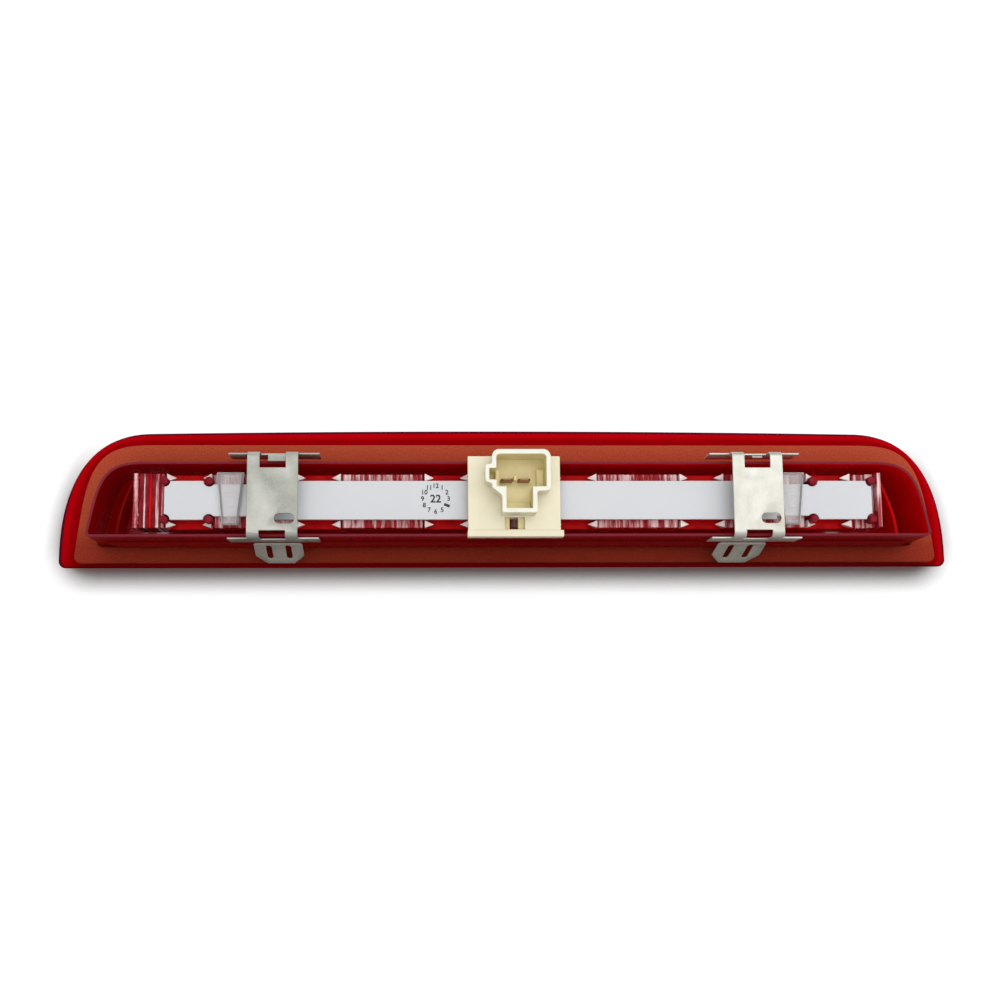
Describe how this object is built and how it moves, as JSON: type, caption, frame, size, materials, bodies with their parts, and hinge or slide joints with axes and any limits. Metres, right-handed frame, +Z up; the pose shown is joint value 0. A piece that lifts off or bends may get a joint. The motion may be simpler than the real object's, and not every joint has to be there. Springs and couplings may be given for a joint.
{
  "type": "third brake light",
  "caption": "Long low red high-level brake lamp with foam gasket, clear light guide on an LED board, socket block and sprung saddle clips.",
  "frame": {"origin": "middle of the lower band of the gasket's rear face, where the lamp seats on the body panel", "axes": "+X along the lamp, +Z up as fitted on the car, the lens faces +Y and the clips and socket face -Y"},
  "size_m": [0.38, 0.058, 0.0598],
  "materials": {
    "lens_red": "clear red moulded acrylic, polished",
    "housing_red": "deep red moulded plastic, satin gloss",
    "gasket_foam": "closed-cell foam, matt terracotta",
    "clear_optic": "clear moulded acrylic with prisms",
    "clear_strap": "clear moulded plastic",
    "board_white": "white solder mask on a glass-fibre board",
    "connector_ivory": "natural ivory nylon, slightly translucent",
    "terminal_copper": "tarnished copper alloy blade",
    "clip_steel": "stamped spring steel, zinc plated, fine rolling grain",
    "component_black": "moulded black component body",
    "capacitor_tan": "ceramic chip",
    "led_package": "white LED package with a phosphor window"
  },
  "bodies": {
    "root": {"outer_lens": "lens_red", "gasket": "gasket_foam", "housing": "housing_red", "light_guide": "clear_optic", "led_board": "board_white", "connector_block": "connector_ivory", "left_terminal": "terminal_copper", "right_terminal": "terminal_copper", "left_board_strap": "clear_strap", "right_board_strap": "clear_strap", "left_clip": "clip_steel", "right_clip": "clip_steel", "protection_diode": "component_black", "capacitor": "capacitor_tan", "led_1": "led_package", "led_2": "led_package", "led_3": "led_package", "led_4": "led_package", "led_5": "led_package", "led_6": "led_package", "resistor_1": "component_black", "resistor_2": "component_black", "resistor_3": "component_black"},
    "left_finger": {"left_clip_finger": "clip_steel"},
    "right_finger": {"right_clip_finger": "clip_steel"}
  },
  "joints": [
    {"name": "left_finger_flex", "type": "hinge", "parent": "root", "child": "left_finger", "pos_m": [-0.0937, -0.0136, 0.0031], "axis": [1, 0, 0], "range_deg": [0, 18], "stiffness_Nm_per_rad": 0.8},
    {"name": "right_finger_flex", "type": "hinge", "parent": "root", "child": "right_finger", "pos_m": [0.0944, -0.0136, 0.0031], "axis": [1, 0, 0], "range_deg": [0, 18], "stiffness_Nm_per_rad": 0.8}
  ]
}
